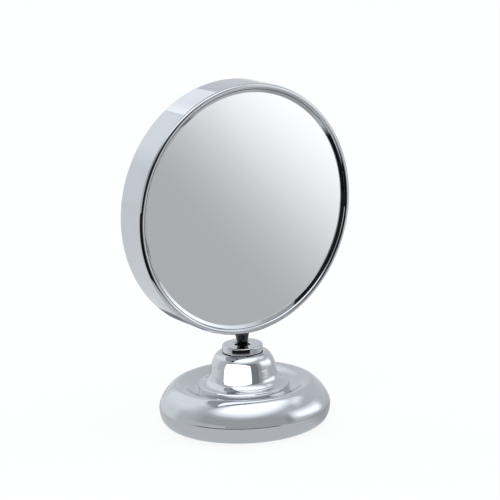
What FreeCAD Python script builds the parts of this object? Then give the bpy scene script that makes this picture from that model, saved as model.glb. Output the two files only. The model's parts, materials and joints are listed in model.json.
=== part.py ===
"""Extendable shaving mirror: a two-sided round head on a ball joint, on a telescopic mast in a heavy foot.

Millimetres, +Z up. The origin is on the table, on the mast's axis, and the shaving glass faces -Y.
Every piece is an object of the document with its own label, bound to the sheet of driving dimensions.
"""
import FreeCAD, Part
import math
import os
import Sketcher

V = FreeCAD.Vector
doc = FreeCAD.newDocument("shaving_mirror")

# --------------------------------------------------------------------------------------------------
# Driving dimensions
# --------------------------------------------------------------------------------------------------
DIMENSIONS = [
    # fits
    ("running_fit", 0.05, "radial clearance of pieces that turn or slide in each other"),
    ("seat_gap", 0.1, "clearance round pieces that are dropped in place"),
    ("body_gap", 0.4, "free height between moving pieces at the bottom of their travel"),
    # head
    ("head_radius", 80.6, "outside of the hoop"),
    ("hoop_wall", 1.4, "wall of the hoop"),
    ("bead_radius", 1.9, "section radius of the rolled beads"),
    ("bezel_web", 0.8, "wall of the bezel inside the bead"),
    ("bezel_slope", 1.2, "radial width that the bezel covers of the glass"),
    ("bezel_inset", 1.0, "bead's front to bezel's outer edge"),
    ("bezel_edge", 0.4, "height of the bezel's inner edge over the glass"),
    ("bezel_flange", 1.0, "thickness of the flange behind the bead"),
    ("glass_recess", 2.6, "bead's front to the glass"),
    ("glass_thickness", 3.0, "both glasses"),
    ("glass_curve", 700.0, "radius of curvature of the magnifying glass"),
    ("front_pad_thickness", 1.0, "foam behind the flat glass"),
    ("back_pad_thickness", 1.2, "foam ring behind the magnifying glass"),
    ("core_thickness", 2.0, "disc between the glasses"),
    ("spacer_width", 4.4, "radial width of the spacer ring"),
    # neck and its block
    ("block_width", 22.0, "neck block, along X"),
    ("block_height", 14.0, "neck block, along Z"),
    ("block_wall", 1.4, "neck block, between the stud and the core"),
    ("block_screw_spacing", 15.0, "centre to centre"),
    ("block_screw_radius", 1.45, "shank"),
    ("block_screw_length", 8.0, "under the head"),
    ("block_screw_head", 2.7, "radius of the head"),
    ("screw_head_height", 0.9, "all the screws"),
    ("stud_radius", 2.0, "stud on the neck"),
    ("washer_thickness", 0.7, "saddle washer between neck and hoop"),
    ("neck_length", 16.9, "centre of the ball to the hoop"),
    ("neck_top_radius", 5.0, "neck at the hoop"),
    ("neck_waist_radius", 2.9, "neck where it leaves the ball"),
    ("ball_radius", 6.5, "ball on the neck"),
    # cap and seats
    ("cap_wall", 2.5, "cap outside the inner tube"),
    ("cap_height", 4.4, "height of the cap"),
    ("cap_web", 1.6, "thickness of the cap's top"),
    ("cap_round", 1.0, "rounding of the cap's edge"),
    ("cap_hole_radius", 5.2, "hole that the neck passes through"),
    ("cap_bevel", 0.8, "bevel of that hole"),
    ("ball_window", 3.3, "radius of the ball where it passes the cap's underside"),
    ("seat_split", 0.3, "seats stop this far from the ball's middle"),
    ("seat_mouth_radius", 5.3, "opening of the upper seat"),
    ("seat_drain_radius", 3.0, "opening of the lower seat"),
    ("seat_floor", 0.5, "lower seat under the ball"),
    ("spring_height", 1.2, "disc spring under the lower seat"),
    ("spring_thickness", 0.5, "disc spring"),
    ("spring_bore_radius", 5.0, "disc spring"),
    # mast
    ("inner_radius", 10.6, "outside of the inner tube"),
    ("tube_wall", 1.0, "wall of all three tubes"),
    ("bush_wall", 0.85, "wall of the collars at the tube mouths"),
    ("bush_length", 6.0, "collars at the tube mouths"),
    ("slipper_length", 4.0, "split rings at the tube feet"),
    ("slipper_groove", 0.4, "depth of their grooves"),
    ("slipper_rise", 1.0, "tube's foot to its groove"),
    ("inner_floor", 2.0, "web in the inner tube under the spring"),
    ("mast_floor", 1.0, "closed foot of the outer tube"),
    ("mast_stud_radius", 3.0, "stud under the outer tube"),
    # bell
    ("bell_height", 24.0, "top of the bell above its seat"),
    ("bell_web", 1.6, "thickness of the bell's top"),
    ("bell_flat", 1.4, "width of the flat round the bell's hole"),
    ("bell_radius", 20.8, "bell under its shoulder"),
    ("bell_shoulder", 9.7, "height of the shoulder"),
    ("bell_flare_rise", 10.9, "where the flare starts, over the seat"),
    ("bell_draft", 0.5, "how much wider the bell is there"),
    ("bell_rim_radius", 29.5, "rim of the flare"),
    ("bell_rim_round", 1.0, "rounding of the rim"),
    ("bell_rim_height", 3.7, "height of the rim over its seat"),
    ("bell_wall", 1.8, "wall beside the mast"),
    ("bell_thread_length", 9.4, "bore that holds the outer tube"),
    ("spigot_height", 1.6, "spigot that centres the bell"),
    # foot
    ("foot_radius", 55.2, "widest radius of the foot"),
    ("foot_waist_height", 11.6, "height of the widest place"),
    ("foot_crest_radius", 43.0, "ring of the foot's crest"),
    ("foot_crest_rise", 4.0, "crest over the bell's seat"),
    ("foot_seat_height", 23.0, "seat of the bell above the table"),
    ("foot_seat_margin", 1.1, "flat of the seat outside the bell's rim"),
    ("foot_hole_radius", 24.0, "hole under the bell"),
    ("foot_tuck", 8.4, "how far the lower edge stands in under the widest place"),
    ("foot_edge_height", 0.5, "lower edge above the table"),
    ("foot_wall", 1.2, "wall of the shell"),
    ("ballast_setback", 1.0, "ballast's bore outside the shell's hole"),
    ("ballast_margin", 0.5, "ballast inside the plate's edge"),
    ("plate_thickness", 1.6, "base plate"),
    ("dish_radius", 12.5, "raised middle of the base plate"),
    ("nut_height", 3.0, "nut of the mast"),
    ("nut_radius", 5.8, "over the nut's corners"),
    ("mast_washer_radius", 8.0, "washer under that nut"),
    ("mast_washer_thickness", 0.8, "washer under that nut"),
    ("plate_screw_count", 3, "screws through the base plate"),
    ("plate_screw_radius", 1.5, "shank"),
    ("plate_screw_head", 2.8, "radius of the head"),
    ("plate_screw_length", 8.0, "under the head"),
    ("pad_thickness", 1.6, "rubber ring under the plate"),
    ("pad_inner_radius", 34.0, "rubber ring, inside"),
    ("pad_margin", 1.0, "rubber ring inside the plate's edge"),
]

FULL_ROUND = 0.5523     # pull of a curve's handles that makes a quarter ellipse
FLANK_ROUND = 0.336     # flatter quarter, from the foot's crest to its widest place
BELLY_ROUND = 0.63      # fuller quarter, from there to the lower edge
CREST_ROUND = 0.4       # handles of the sweep from the bell's seat up to the crest

sheet = doc.addObject("Spreadsheet::Sheet", "sizes")
for row, (alias, amount, meaning) in enumerate(DIMENSIONS, start=1):
    sheet.set(f"A{row}", alias)
    sheet.set(f"B{row}", str(amount))
    sheet.setAlias(f"B{row}", alias)
    sheet.set(f"C{row}", meaning)
doc.recompute()


class Size:
    """A length with its value and the expression over the sheet that gives it."""

    def __init__(self, value, text):
        self.value = value
        self.text = text

    def combined(self, sign, other, swapped=False):
        other = as_size(other)
        left, right = (other, self) if swapped else (self, other)
        values = {
            "+": lambda: left.value + right.value,
            "-": lambda: left.value - right.value,
            "*": lambda: left.value * right.value,
            "/": lambda: left.value / right.value,
        }
        return Size(values[sign](), f"({left.text} {sign} {right.text})")

    def __add__(self, other):
        return self.combined("+", other)

    def __radd__(self, other):
        return self.combined("+", other, swapped=True)

    def __sub__(self, other):
        return self.combined("-", other)

    def __rsub__(self, other):
        return self.combined("-", other, swapped=True)

    def __mul__(self, other):
        return self.combined("*", other)

    def __rmul__(self, other):
        return self.combined("*", other, swapped=True)

    def __truediv__(self, other):
        return self.combined("/", other)

    def __neg__(self):
        return 0 - self


def as_size(number):
    """A Size as it is, or a plain number as a Size."""
    return number if isinstance(number, Size) else Size(float(number), str(number))


def root(size):
    """Square root of a Size."""
    return Size(math.sqrt(size.value), f"sqrt({size.text})")


class Dimensions:
    """The sheet's cells as Sizes, by alias."""

    def __getattr__(self, alias):
        return Size(float(sheet.get(alias)), f"sizes.{alias}")


d = Dimensions()


# --------------------------------------------------------------------------------------------------
# Helpers
# --------------------------------------------------------------------------------------------------
class Arc:
    """An arc of a turned outline, from the corner before it to the corner after it."""

    def __init__(self, centre, radius, turns_left):
        self.centre = centre
        self.radius = radius
        self.turns_left = turns_left


def bind(thing, **properties):
    """Set properties such as Radius from Sizes and tie them to the sheet."""
    for name, size in properties.items():
        size = as_size(size)
        setattr(thing, name, size.value)
        thing.setExpression(name, size.text)
    return thing


def place(thing, x=0, y=0, z=0):
    """Put an object at a place that follows the sheet."""
    x, y, z = as_size(x), as_size(y), as_size(z)
    thing.Placement = FreeCAD.Placement(V(x.value, y.value, z.value), thing.Placement.Rotation)
    for letter, size in (("x", x), ("y", y), ("z", z)):
        thing.setExpression(f"Placement.Base.{letter}", size.text)
    return thing


def lay_along_y(thing):
    """Turn a primitive that stands along Z so that it points along +Y."""
    thing.Placement.Rotation = FreeCAD.Rotation(V(1, 0, 0), -90)
    return thing


def origin_plane(body, role):
    """One of a body's own origin planes."""
    return next(feature for feature in body.Origin.OriginFeatures if feature.Role == role)


def pin_corner(sketch, edge, point, number, across, up):
    """Hold a sketch point at its two distances from the origin."""
    for kind, axis, size in (("DistanceX", -2, across), ("DistanceY", -1, up)):
        if abs(size.value) < 1e-9:
            sketch.addConstraint(Sketcher.Constraint("PointOnObject", edge, point, axis))
            continue
        index = sketch.addConstraint(Sketcher.Constraint(kind, -1, 1, edge, point, size.value))
        name = f"{'across' if kind == 'DistanceX' else 'up'}_{number}"
        sketch.renameConstraint(index, name)
        sketch.setExpression(f"Constraints.{name}", size.text)


def draw_outline(sketch, outline):
    """Draw a closed outline of corners and arcs, fully tied to the sheet."""
    corners = [tuple(as_size(size) for size in step) for step in outline if not isinstance(step, Arc)]
    arcs = {}
    corner_count = 0
    for step in outline:
        if isinstance(step, Arc):
            arcs[corner_count - 1] = step
        else:
            corner_count += 1
    ends = []
    for number, (across, up) in enumerate(corners):
        after = corners[(number + 1) % len(corners)]
        start = V(across.value, up.value, 0)
        end = V(after[0].value, after[1].value, 0)
        arc = arcs.get(number)
        if arc is None:
            edge = sketch.addGeometry(Part.LineSegment(start, end), False)
            ends.append((edge, 1, 2))
            continue
        centre = V(as_size(arc.centre[0]).value, as_size(arc.centre[1]).value, 0)
        radius = as_size(arc.radius)
        circle = Part.Circle(centre, V(0, 0, 1), radius.value)
        first, last = (start, end) if arc.turns_left else (end, start)
        angles = [math.atan2(point.y - centre.y, point.x - centre.x) for point in (first, last)]
        edge = sketch.addGeometry(Part.ArcOfCircle(circle, angles[0], angles[1]), False)
        ends.append((edge, 1, 2) if arc.turns_left else (edge, 2, 1))
        index = sketch.addConstraint(Sketcher.Constraint("Radius", edge, radius.value))
        sketch.renameConstraint(index, f"radius_{number}")
        sketch.setExpression(f"Constraints.radius_{number}", radius.text)
    for number, (edge, start_point, end_point) in enumerate(ends):
        next_edge, next_start, next_end = ends[(number + 1) % len(ends)]
        sketch.addConstraint(Sketcher.Constraint("Coincident", edge, end_point, next_edge, next_start))
    for number, (across, up) in enumerate(corners):
        edge, start_point, end_point = ends[number]
        pin_corner(sketch, edge, start_point, number, across, up)


def new_sketch(body, name, role):
    """A sketch on one of a body's origin planes."""
    sketch = body.newObject("Sketcher::SketchObject", f"{body.Label}_{name}")
    sketch.AttachmentSupport = [(origin_plane(body, role), "")]
    sketch.MapMode = "FlatFace"
    return sketch


def turned(label, outline, role="XZ_Plane"):
    """A turned piece. On XZ_Plane it turns about Z, on XY_Plane about Y."""
    body = doc.addObject("PartDesign::Body", label)
    sketch = new_sketch(body, "outline", role)
    draw_outline(sketch, outline)
    doc.recompute()
    revolution = body.newObject("PartDesign::Revolution", f"{label}_turned")
    revolution.Profile = sketch
    revolution.ReferenceAxis = (sketch, ["V_Axis"])
    revolution.Angle = 360.0
    body.Tip = revolution
    doc.recompute()
    return body


def cut_through(body, name, sketch):
    """Pocket a sketch through a body, and check that it cuts."""
    before = body.Shape.Volume
    pocket = body.newObject("PartDesign::Pocket", f"{body.Label}_{name}")
    pocket.Profile = sketch
    pocket.Type = "ThroughAll"
    pocket.Midplane = True
    body.Tip = pocket
    doc.recompute()
    if body.Shape.Volume >= before - 1e-6:
        raise ValueError(f"{body.Label}: {name} cuts nothing")
    return pocket


def round_hole(sketch, across, up, radius, name):
    """Draw a round hole in a sketch, tied to the sheet."""
    across, up, radius = as_size(across), as_size(up), as_size(radius)
    circle = Part.Circle(V(across.value, up.value, 0), V(0, 0, 1), radius.value)
    edge = sketch.addGeometry(circle, False)
    pin_corner(sketch, edge, 3, name, across, up)
    index = sketch.addConstraint(Sketcher.Constraint("Radius", edge, radius.value))
    sketch.renameConstraint(index, f"radius_{name}")
    sketch.setExpression(f"Constraints.radius_{name}", radius.text)


def cylinder(name, radius, height):
    """A plain cylinder standing on the origin."""
    return bind(doc.addObject("Part::Cylinder", name), Radius=radius, Height=height)


def cut(label, base, tool):
    """One object less another."""
    result = doc.addObject("Part::Cut", label)
    result.Base = base
    result.Tool = tool
    return result


def fused(label, pieces):
    """Several touching solids as one."""
    result = doc.addObject("Part::MultiFuse", label)
    result.Shapes = pieces
    return result


def group(label, pieces):
    """Several equal pieces under one label, each its own solid."""
    result = doc.addObject("Part::Compound", label)
    result.Links = pieces
    return result


def quarter(start, corner, end, pull):
    """A smooth quarter turn between two points, drawn towards a corner."""
    handles = [start + (corner - start) * pull, end + (corner - end) * pull]
    curve = Part.BezierCurve()
    curve.setPoles([start, handles[0], handles[1], end])
    return curve.toShape()


def line(start, end):
    """A straight edge."""
    return Part.LineSegment(start, end).toShape()


def turned_shape(label, edges):
    """A piece turned about Z from edges in the XZ plane, for outlines with free curves."""
    face = Part.Face(Part.Wire(edges))
    feature = doc.addObject("Part::Feature", label)
    feature.Shape = face.revolve(V(0, 0, 0), V(0, 0, 1), 360)
    feature.Placement = FreeCAD.Placement()
    return feature


def at(across, up):
    """A point of an outline in the XZ plane."""
    return V(as_size(across).value, 0, as_size(up).value)


# --------------------------------------------------------------------------------------------------
# Levels above the table and radii that several pieces share
# --------------------------------------------------------------------------------------------------
plate_top = d.pad_thickness + d.plate_thickness
dish_top = plate_top + d.nut_height + d.mast_washer_thickness
mast_foot = dish_top + d.mast_floor
middle_foot = mast_foot + d.body_gap
inner_foot = middle_foot + d.slipper_rise
bell_top = d.foot_seat_height + d.bell_height
bell_ceiling = bell_top - d.bell_web
cap_foot = bell_top + d.body_gap
cap_top = cap_foot + d.cap_height
cap_ceiling = cap_top - d.cap_web
middle_top = cap_foot - d.body_gap
ball_height = cap_ceiling - root(d.ball_radius * d.ball_radius - d.ball_window * d.ball_window)
hoop_foot = ball_height + d.neck_length
head_height = hoop_foot + d.head_radius

step = d.tube_wall + d.bush_wall
middle_radius = d.inner_radius + d.running_fit + step
outer_radius = middle_radius + d.running_fit + step
bell_hole = middle_radius + d.body_gap
foot_edge_radius = d.foot_radius - d.foot_tuck
plate_radius = foot_edge_radius - d.foot_wall - d.running_fit
ballast_bore = d.foot_hole_radius + d.ballast_setback
screw_ring = (ballast_bore + d.pad_inner_radius) / 2

# --------------------------------------------------------------------------------------------------
# Head: pieces are drawn round the head's own axis, along Y, and raised to its height
# --------------------------------------------------------------------------------------------------
core_back = -(d.stud_radius + d.block_wall)
core_front = core_back - d.core_thickness
glass_back = core_front - d.front_pad_thickness
glass_face = glass_back - d.glass_thickness
front = glass_face - d.glass_recess
hoop_bore = d.head_radius - d.hoop_wall
bead_bore = d.head_radius - 2 * d.bead_radius
bead_back = front + 2 * d.bead_radius
glass_radius = bead_bore - d.bezel_web - d.seat_gap
sight_radius = glass_radius - d.bezel_slope
spacer_bore = glass_radius - d.spacer_width
screw_height = -(hoop_bore - d.block_height / 2)
outer_curve = d.glass_curve + d.glass_thickness
curve_centre = -glass_face + root(d.glass_curve * d.glass_curve - glass_radius * glass_radius)


def hoop():
    """The hoop: a thin wall with a solid rolled bead at each edge and a hole for the neck's stud."""
    bead_centre = d.head_radius - d.bead_radius
    back = -front
    outline = [
        (hoop_bore, bead_back),
        (bead_bore, bead_back),
        (bead_bore, front + d.bead_radius),
        Arc((bead_centre, front + d.bead_radius), d.bead_radius, True),
        (bead_centre, front),
        Arc((bead_centre, front + d.bead_radius), d.bead_radius, True),
        (d.head_radius, front + d.bead_radius),
        (d.head_radius, back - d.bead_radius),
        Arc((bead_centre, back - d.bead_radius), d.bead_radius, True),
        (bead_centre, back),
        Arc((bead_centre, back - d.bead_radius), d.bead_radius, True),
        (bead_bore, back - d.bead_radius),
        (bead_bore, -bead_back),
        (hoop_bore, -bead_back),
    ]
    body = turned("rim_band", outline, "XY_Plane")
    sketch = new_sketch(body, "stud_hole", "XY_Plane")
    round_hole(sketch, 0, 0, d.stud_radius + d.seat_gap, "stud")
    before = body.Shape.Volume
    pocket = body.newObject("PartDesign::Pocket", "rim_band_stud_hole_cut")
    pocket.Profile = sketch
    pocket.Type = "Length"
    bind(pocket, Length=d.head_radius + d.hoop_wall)
    body.Tip = pocket
    doc.recompute()
    if body.Shape.Volume >= before:
        raise ValueError("the stud's hole cuts nothing")
    return place(body, z=head_height)


def bezel(label, side):
    """A ring that lies on a glass, with a flange behind the bead. side is -1 in front and 1 behind."""
    web_radius = bead_bore - d.seat_gap / 2
    flange_front = bead_back + d.running_fit
    flange_back = flange_front + d.bezel_flange
    flange_radius = hoop_bore - d.seat_gap
    profile = [
        (sight_radius, glass_face),
        (sight_radius, glass_face - d.bezel_edge),
        (web_radius, front + d.bezel_inset),
        (web_radius, flange_front),
        (flange_radius, flange_front),
        (flange_radius, flange_back),
        (glass_radius + d.seat_gap / 2, flange_back),
        (glass_radius + d.seat_gap / 2, glass_face),
    ]
    outline = profile if side < 0 else [(across, -up) for across, up in profile]
    return place(turned(label, outline, "XY_Plane"), z=head_height)


def ring(label, bore, radius, low, high):
    """A plain flat ring or disc round the head's axis."""
    outline = [(bore, low), (radius, low), (radius, high), (bore, high)]
    return place(turned(label, outline, "XY_Plane"), z=head_height)


def glass_underside(radius):
    """Where the back glass's inner face lies at a radius."""
    return curve_centre - root(outer_curve * outer_curve - radius * radius)


def magnifying_glass():
    """The concave back glass, of even thickness."""
    outline = [
        (0, curve_centre - d.glass_curve),
        (0, curve_centre - outer_curve),
        Arc((0, curve_centre), outer_curve, True),
        (glass_radius, glass_underside(glass_radius)),
        (glass_radius, -glass_face),
        Arc((0, curve_centre), d.glass_curve, False),
    ]
    return place(turned("back_glass", outline, "XY_Plane"), z=head_height)


spacer_back = glass_underside(spacer_bore) - d.back_pad_thickness
block_back = spacer_back - d.body_gap


def notched(body):
    """Cut the gap for the neck block out of a ring's lower side."""
    sketch = new_sketch(body, "notch", "XZ_Plane")
    half = d.block_width / 2 + d.body_gap
    foot = -(glass_radius + d.seat_gap)
    top = -(hoop_bore - d.block_height - d.body_gap)
    draw_outline(sketch, [(-half, foot), (half, foot), (half, top), (-half, top)])
    doc.recompute()
    cut_through(body, "notch_cut", sketch)
    return body


def back_pad():
    """Foam ring with a sloping face, between spacer and magnifying glass."""
    return place(turned("back_pad", [
        (spacer_bore, spacer_back),
        (glass_radius, spacer_back),
        (glass_radius, glass_underside(glass_radius) - d.running_fit),
        (spacer_bore, glass_underside(spacer_bore) - d.running_fit),
    ], "XY_Plane"), z=head_height)


def head_screws(name, radius, length, head_radius, head_depth):
    """The two screws that hold the block, or the space they take, along +Y from the core's front."""
    pieces = []
    for number, side in enumerate((-1, 1), start=1):
        head = lay_along_y(cylinder(f"{name}_head_{number}", head_radius, head_depth))
        shank = lay_along_y(cylinder(f"{name}_shank_{number}", radius, length + head_depth))
        for part in (head, shank):
            place(part, side * d.block_screw_spacing / 2, core_front, head_height + screw_height)
        pieces.append(fused(f"{name}_{number}", [head, shank]))
    return pieces


def core():
    """The disc between the glasses, counterbored for the block's screws."""
    disc = ring("core_blank", 0, glass_radius, core_front, core_back)
    space = group("core_screw_space", head_screws(
        "core_space", d.block_screw_radius + d.running_fit, d.block_screw_length + d.seat_gap,
        d.block_screw_head + d.seat_gap, d.screw_head_height + d.seat_gap))
    return cut("core_disc", disc, space)


def neck_block():
    """The block that takes the neck's stud, round below to lie in the hoop."""
    blank = doc.addObject("Part::Box", "block_blank")
    bind(blank, Length=d.block_width, Width=block_back - core_back, Height=d.block_height + d.hoop_wall)
    place(blank, -d.block_width / 2, core_back, head_height - hoop_bore - d.hoop_wall)
    bore = lay_along_y(cylinder("block_hoop", hoop_bore, -2 * front))
    place(bore, 0, front, head_height)
    rounded = doc.addObject("Part::Common", "block_rounded")
    rounded.Base = blank
    rounded.Tool = bore
    stud = cylinder("block_stud_space", d.stud_radius + d.running_fit, d.block_height + 2 * d.hoop_wall)
    place(stud, 0, 0, head_height - d.head_radius)
    drilled = cut("block_drilled", rounded, stud)
    space = group("block_screw_space", head_screws(
        "block_space", d.block_screw_radius + d.running_fit, d.block_screw_length + d.seat_gap,
        d.block_screw_radius + d.running_fit, d.screw_head_height + d.seat_gap))
    return cut("neck_block", drilled, space)


hoop()
bezel("front_bezel", -1)
bezel("back_bezel", 1)
ring("front_glass", 0, glass_radius, glass_face, glass_back)
magnifying_glass()
ring("front_pad", 0, glass_radius, glass_back, core_front)
back_pad()
core()
notched(ring("spacer_ring", spacer_bore, glass_radius, core_back, spacer_back))
neck_block()
group("block_screws", head_screws(
    "block_screw", d.block_screw_radius, d.block_screw_length, d.block_screw_head, d.screw_head_height))

# --------------------------------------------------------------------------------------------------
# Neck: ball, taper and stud, and the saddle washer under the hoop
# --------------------------------------------------------------------------------------------------
neck_top = hoop_foot - d.washer_thickness
waist_height = ball_height + root(d.ball_radius * d.ball_radius - d.neck_waist_radius * d.neck_waist_radius)
turned("neck", [
    (0, ball_height - d.ball_radius),
    Arc((0, ball_height), d.ball_radius, True),
    (d.neck_waist_radius, waist_height),
    (d.neck_top_radius, neck_top),
    (d.stud_radius, neck_top),
    (d.stud_radius, hoop_foot + d.hoop_wall + d.block_height - d.seat_gap),
    (0, hoop_foot + d.hoop_wall + d.block_height - d.seat_gap),
])


def saddle_washer():
    """A washer whose upper face follows the hoop."""
    blank = place(cylinder("washer_blank", d.neck_top_radius, 2 * d.washer_thickness), z=neck_top)
    bore = cylinder("washer_bore", d.stud_radius + d.running_fit, 4 * d.washer_thickness)
    place(bore, z=neck_top - d.washer_thickness)
    bored = cut("washer_bored", blank, bore)
    hoop_space = lay_along_y(cylinder("washer_hoop", d.head_radius, -2 * front))
    place(hoop_space, 0, front, head_height)
    return cut("neck_washer", bored, hoop_space)


saddle_washer()

# --------------------------------------------------------------------------------------------------
# Cap and ball seats
# --------------------------------------------------------------------------------------------------
cap_radius = d.inner_radius + d.cap_wall
tube_top = cap_ceiling - d.seat_gap
cup_radius = d.inner_radius - d.tube_wall
seat_radius = cup_radius - d.running_fit
socket_radius = d.ball_radius + d.running_fit
lower_seat_foot = ball_height - d.ball_radius - d.seat_floor
spring_foot = lower_seat_foot - d.spring_height


def on_ball(radius):
    """Height of the seats' round face over the ball's centre, at a radius."""
    return root(socket_radius * socket_radius - radius * radius)


turned("cap", [
    (d.inner_radius + d.running_fit, cap_foot),
    (cap_radius, cap_foot),
    (cap_radius, cap_top - d.cap_round),
    Arc((cap_radius - d.cap_round, cap_top - d.cap_round), d.cap_round, True),
    (cap_radius - d.cap_round, cap_top),
    (d.cap_hole_radius + d.cap_bevel, cap_top),
    (d.cap_hole_radius, cap_top - d.cap_bevel),
    (d.cap_hole_radius, cap_ceiling),
    (d.inner_radius + d.running_fit, cap_ceiling),
])
split_radius = root(socket_radius * socket_radius - d.seat_split * d.seat_split)
turned("lower_seat", [
    (d.seat_drain_radius, lower_seat_foot),
    (seat_radius, lower_seat_foot),
    (seat_radius, ball_height - d.seat_split),
    (split_radius, ball_height - d.seat_split),
    Arc((0, ball_height), socket_radius, False),
    (d.seat_drain_radius, ball_height - on_ball(d.seat_drain_radius)),
])
turned("upper_seat", [
    (split_radius, ball_height + d.seat_split),
    (seat_radius, ball_height + d.seat_split),
    (seat_radius, tube_top),
    (d.seat_mouth_radius + d.seat_split, tube_top),
    (d.seat_mouth_radius, ball_height + on_ball(d.seat_mouth_radius)),
    Arc((0, ball_height), socket_radius, False),
])
turned("seat_spring", [
    (d.spring_bore_radius, lower_seat_foot - d.spring_thickness),
    (seat_radius, spring_foot),
    (seat_radius, spring_foot + d.spring_thickness),
    (d.spring_bore_radius, lower_seat_foot),
])

# --------------------------------------------------------------------------------------------------
# Mast: three nested tubes, each guided by a slipper at its foot and a collar at the next one's mouth
# --------------------------------------------------------------------------------------------------
def slipper_groove(radius, foot):
    """Corners of the groove for a slipper on the outside of a tube."""
    low = foot + d.slipper_rise
    high = low + d.slipper_length + d.seat_gap
    return [
        (radius, low),
        (radius - d.slipper_groove, low),
        (radius - d.slipper_groove, high),
        (radius, high),
    ]


def slipper(label, radius, foot):
    """A split ring in a tube's groove, which slides in the next tube."""
    low = foot + d.slipper_rise + d.seat_gap / 2
    bore = radius - d.slipper_groove
    outside = radius + d.bush_wall
    body = turned(label, [
        (bore, low),
        (outside, low),
        (outside, low + d.slipper_length),
        (bore, low + d.slipper_length),
    ])
    sketch = new_sketch(body, "split", "XY_Plane")
    draw_outline(sketch, [
        (bore / 2, -d.slipper_groove),
        (outside + d.seat_gap, -d.slipper_groove),
        (outside + d.seat_gap, d.slipper_groove),
        (bore / 2, d.slipper_groove),
    ])
    doc.recompute()
    cut_through(body, "split_cut", sketch)
    return body


def collar(label, bore, outside, top):
    """A bush in a tube's mouth."""
    return turned(label, [
        (bore, top - d.bush_length),
        (outside, top - d.bush_length),
        (outside, top),
        (bore, top),
    ])


turned("inner_tube", [
    (cup_radius, inner_foot),
    (d.inner_radius, inner_foot),
    *slipper_groove(d.inner_radius, inner_foot),
    (d.inner_radius, tube_top),
    (cup_radius, tube_top),
    (cup_radius, spring_foot),
    (0, spring_foot),
    (0, spring_foot - d.inner_floor),
    (cup_radius, spring_foot - d.inner_floor),
])
slipper("inner_slipper", d.inner_radius, inner_foot)
turned("middle_tube", [
    (middle_radius - d.tube_wall, middle_foot),
    (middle_radius, middle_foot),
    *slipper_groove(middle_radius, middle_foot),
    (middle_radius, middle_top),
    (middle_radius - d.tube_wall, middle_top),
])
slipper("middle_slipper", middle_radius, middle_foot)
collar("middle_collar", d.inner_radius + d.running_fit, middle_radius - d.tube_wall, middle_top)
turned("outer_tube", [
    (0, d.pad_thickness - d.body_gap),
    (d.mast_stud_radius, d.pad_thickness - d.body_gap),
    (d.mast_stud_radius, dish_top),
    (outer_radius, dish_top),
    (outer_radius, bell_ceiling),
    (outer_radius - d.tube_wall, bell_ceiling),
    (outer_radius - d.tube_wall, mast_foot),
    (0, mast_foot),
])
collar("outer_collar", middle_radius + d.running_fit, outer_radius - d.tube_wall, bell_ceiling)


# --------------------------------------------------------------------------------------------------
# Bell and foot
# --------------------------------------------------------------------------------------------------
def bell():
    """The cast cover: flat top, round shoulder, flared skirt with a rim, and a bore that holds the mast."""
    rim_top = d.foot_seat_height + d.bell_rim_height
    thread = outer_radius + d.running_fit
    thread_foot = bell_ceiling - d.bell_thread_length
    hollow = d.bell_radius - d.bell_wall
    spigot = d.foot_hole_radius - d.seat_gap
    waist = d.bell_radius + d.bell_draft
    top_start = at(bell_hole + d.bell_flat, bell_top)
    lean = d.bell_draft / (d.bell_height - d.bell_shoulder - d.bell_flare_rise)
    shoulder_corner = at(d.bell_radius - lean * d.bell_shoulder, bell_top)
    shoulder_end = at(d.bell_radius, bell_top - d.bell_shoulder)
    flare_start = at(waist, d.foot_seat_height + d.bell_flare_rise)
    flare_corner = at(waist + lean * (d.bell_flare_rise - d.bell_rim_height), rim_top)
    flare_end = at(d.bell_rim_radius - d.bell_rim_round, rim_top)
    rim_end = at(d.bell_rim_radius, rim_top - d.bell_rim_round)
    corners = [
        rim_end,
        at(d.bell_rim_radius, d.foot_seat_height),
        at(spigot, d.foot_seat_height),
        at(spigot, d.foot_seat_height - d.spigot_height),
        at(hollow, d.foot_seat_height - d.spigot_height),
        at(hollow, thread_foot),
        at(thread, thread_foot),
        at(thread, bell_ceiling),
        at(bell_hole, bell_ceiling),
        at(bell_hole, bell_top),
        top_start,
    ]
    edges = [
        quarter(top_start, shoulder_corner, shoulder_end, FULL_ROUND),
        line(shoulder_end, flare_start),
        quarter(flare_start, flare_corner, flare_end, FULL_ROUND),
        quarter(flare_end, at(d.bell_rim_radius, rim_top), rim_end, FULL_ROUND),
    ]
    edges += [line(start, end) for start, end in zip(corners, corners[1:])]
    return turned_shape("bell", edges)


def shell_line(inset):
    """One face of the foot's shell from its hole to its lower edge, inset from the outside by a wall."""
    hole_edge = at(d.foot_hole_radius, d.foot_seat_height - inset)
    seat_outside = d.bell_rim_radius + d.foot_seat_margin
    seat_edge = at(seat_outside, d.foot_seat_height - inset)
    crest = at(d.foot_crest_radius, d.foot_seat_height + d.foot_crest_rise - inset)
    waist = at(d.foot_radius - inset, d.foot_waist_height)
    edge = at(foot_edge_radius - inset, d.foot_edge_height)
    sweep = (d.foot_crest_radius - seat_outside).value * CREST_ROUND
    rise = Part.BezierCurve()
    rise.setPoles([seat_edge, seat_edge + V(sweep, 0, 0), crest - V(sweep, 0, 0), crest])
    return [
        line(hole_edge, seat_edge),
        rise.toShape(),
        quarter(crest, V(waist.x, 0, crest.z), waist, FLANK_ROUND),
        quarter(waist, V(waist.x, 0, edge.z), edge, BELLY_ROUND),
    ]


def foot_shell():
    """The spun shell, like a ring doughnut with a flat seat in its middle for the bell."""
    outside = shell_line(as_size(0))
    inside = shell_line(d.foot_wall)
    closing = [
        line(at(foot_edge_radius, d.foot_edge_height),
             at(foot_edge_radius - d.foot_wall, d.foot_edge_height)),
        line(at(d.foot_hole_radius, d.foot_seat_height - d.foot_wall),
             at(d.foot_hole_radius, d.foot_seat_height)),
    ]
    return turned_shape("foot_shell", outside + [closing[0]] + inside[::-1] + [closing[1]])


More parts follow.
